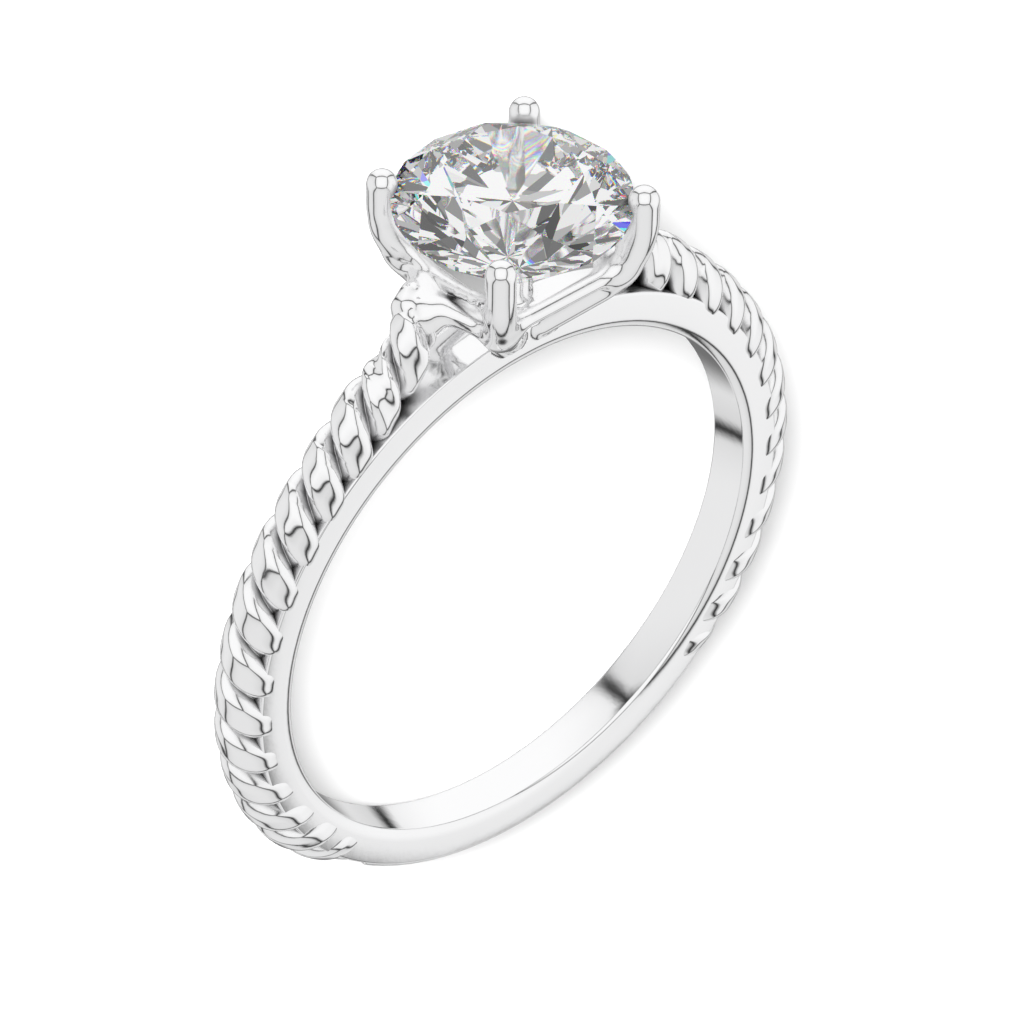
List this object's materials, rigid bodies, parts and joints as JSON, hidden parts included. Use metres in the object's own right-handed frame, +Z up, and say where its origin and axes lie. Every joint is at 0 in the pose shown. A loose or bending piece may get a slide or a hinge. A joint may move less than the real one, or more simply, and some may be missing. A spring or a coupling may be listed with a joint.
{
  "type": "solitaire ring",
  "caption": "Solitaire ring with a twisted shank, a plain inner band and a round brilliant stone held by slim claws, lying on its side.",
  "frame": {"origin": "middle of the finger hole, on its axis and halfway through the band", "axes": "+Y from the finger hole toward the stone, +Z up from the surface the ring lies on, +X to the right; the finger hole's axis leans about 6 degrees from +Z in the YZ plane"},
  "size_m": [0.0204, 0.0239, 0.0065],
  "materials": {
    "white_gold": "polished",
    "diamond": "polished"
  },
  "bodies": {
    "root": {"mounting": "white_gold", "stone": "diamond"}
  },
  "joints": []
}
